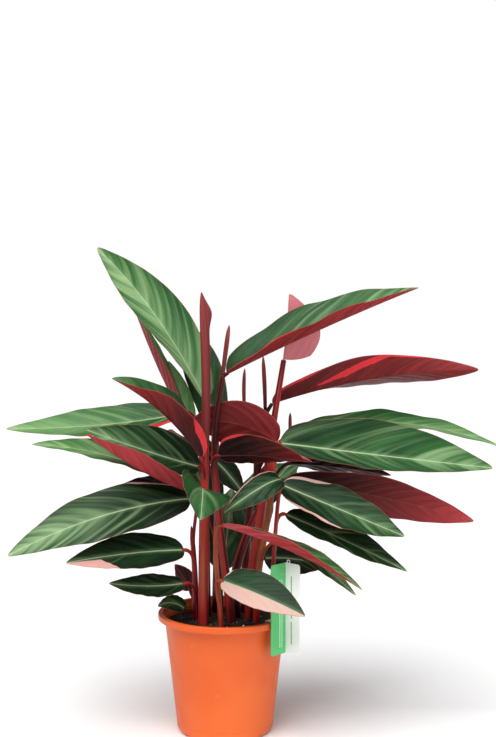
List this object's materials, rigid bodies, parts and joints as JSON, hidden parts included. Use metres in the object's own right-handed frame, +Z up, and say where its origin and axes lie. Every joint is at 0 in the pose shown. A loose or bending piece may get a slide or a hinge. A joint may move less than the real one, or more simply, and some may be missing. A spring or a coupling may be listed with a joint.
{
  "type": "potted stromanthe plant",
  "caption": "Clump of leafy shoots with lance-shaped leaves, green above and maroon below, in a round nursery pot with a hanging label.",
  "frame": {"origin": "centre of the pot's flat bottom, which the part stands on", "axes": "+Z up; +X to the right and -Y to the front, the side that the hanging label faces; X is the longest extent"},
  "size_m": [0.6372, 0.2886, 0.6173],
  "materials": {
    "pot": "satin",
    "soil": "matte",
    "stem": "satin",
    "leaf": "satin",
    "young_leaf": "satin",
    "label": "satin",
    "clip": "gloss"
  },
  "bodies": {
    "root": {"label_card": "label", "label_clip": "clip", "leaf_01": "leaf", "leaf_02": "leaf", "leaf_03": "leaf", "leaf_04": "leaf", "leaf_05": "leaf", "leaf_06": "leaf", "leaf_07": "leaf", "leaf_08": "leaf", "leaf_09": "leaf", "leaf_10": "leaf", "leaf_11": "leaf", "leaf_12": "leaf", "leaf_13": "leaf", "leaf_14": "leaf", "leaf_15": "leaf", "leaf_16": "leaf", "leaf_17": "leaf", "leaf_18": "leaf", "leaf_19": "leaf", "leaf_20": "leaf", "leaf_21": "leaf", "leaf_22": "leaf", "leaf_23": "leaf", "leaf_24": "leaf", "leaf_25": "leaf", "leaf_26": "leaf", "leaf_27": "leaf", "leaf_28": "leaf", "leaf_29": "leaf", "leaf_30": "leaf", "leaf_31": "leaf", "leaf_32": "leaf", "leaf_33": "leaf", "leaf_back_1": "leaf", "leaf_back_2": "leaf", "leaf_back_3": "leaf", "leaf_back_4": "leaf", "leaf_back_5": "leaf", "pot": "pot", "shoot_back": "stem", "shoot_back_left": "stem", "shoot_back_right": "stem", "shoot_front": "stem", "shoot_front_left": "stem", "shoot_inner_right": "stem", "shoot_left_low": "stem", "shoot_mid": "stem", "shoot_right": "stem", "shoot_tall": "stem", "shoot_thin": "stem", "soil": "soil", "spear_back_mid": "young_leaf", "spear_back_right": "young_leaf", "spear_front": "young_leaf", "spear_small": "young_leaf", "spear_tall": "young_leaf"}
  },
  "joints": []
}
